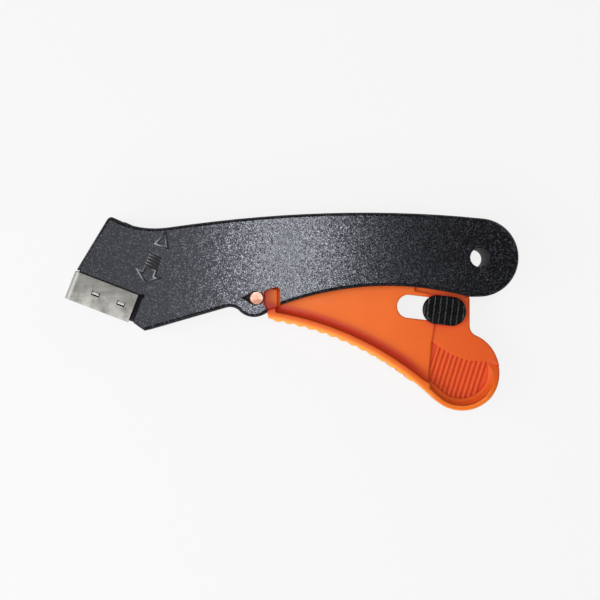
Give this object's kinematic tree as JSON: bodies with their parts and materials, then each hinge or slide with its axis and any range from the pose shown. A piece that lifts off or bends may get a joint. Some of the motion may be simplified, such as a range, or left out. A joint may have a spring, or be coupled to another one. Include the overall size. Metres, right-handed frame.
{
  "type": "safety knife",
  "caption": "Squeeze-grip safety knife: curved black handle, steel-capped nose, and an orange lever that pushes out a blade which springs back, with a sliding lock in the lever.",
  "frame": {"origin": "under the middle of the bounding box, on the far side face on which the knife lies", "axes": "+X from the nose to the tail, +Y from the lever to the back of the handle, +Z from the far side to the near side"},
  "size_m": [0.1704, 0.0744, 0.017],
  "materials": {
    "body_plastic": "black, spark-eroded grain",
    "lever_plastic": "orange, moulded satin",
    "lock_plastic": "black, moulded satin",
    "inner_plastic": "grey, moulded",
    "guard_steel": "nickel-plated sheet and pin",
    "blade_steel": "ground blade steel",
    "spring_steel": "drawn spring wire",
    "pin_plating": "copper-coloured pin",
    "screw_steel": "blackened steel"
  },
  "bodies": {
    "handle": {"left_body_shell": "body_plastic", "right_body_shell": "body_plastic", "nose_guard": "guard_steel", "nose_screw": "screw_steel", "arm_screw": "screw_steel", "middle_screw": "screw_steel", "tail_screw": "screw_steel", "lever_return_spring": "spring_steel"},
    "lever": {"squeeze_lever": "lever_plastic", "lever_pivot_pin": "pin_plating", "carrier_drive_pin": "guard_steel"},
    "blade_unit": {"blade_carrier": "inner_plastic", "cutting_blade": "blade_steel", "blade_clamp": "inner_plastic", "blade_clamp_screw": "screw_steel"},
    "lock": {"lock_button": "lock_plastic", "lock_button_cap": "lock_plastic"}
  },
  "joints": [
    {"name": "lever_squeeze", "type": "hinge", "parent": "handle", "child": "lever", "pos_m": [-0.01286, 0.00513, 0.0085], "axis": [0, 0, 1], "range_deg": [0, 7.5], "stiffness_Nm_per_rad": 1.5, "springref_deg": -17.19, "deforming": ["lever_return_spring"]},
    {"name": "blade_slide", "type": "slide", "parent": "handle", "child": "blade_unit", "axis": [-0.3584, -0.9336, 0], "range_m": [0, 0.0071]},
    {"name": "lock_slide", "type": "slide", "parent": "lever", "child": "lock", "axis": [-0.993, 0.1184, 0], "range_m": [0, 0.0111]}
  ],
  "couplings": [
    {"joint": "blade_slide", "follows": "lever_squeeze", "m_per_rad": 0.05375}
  ]
}
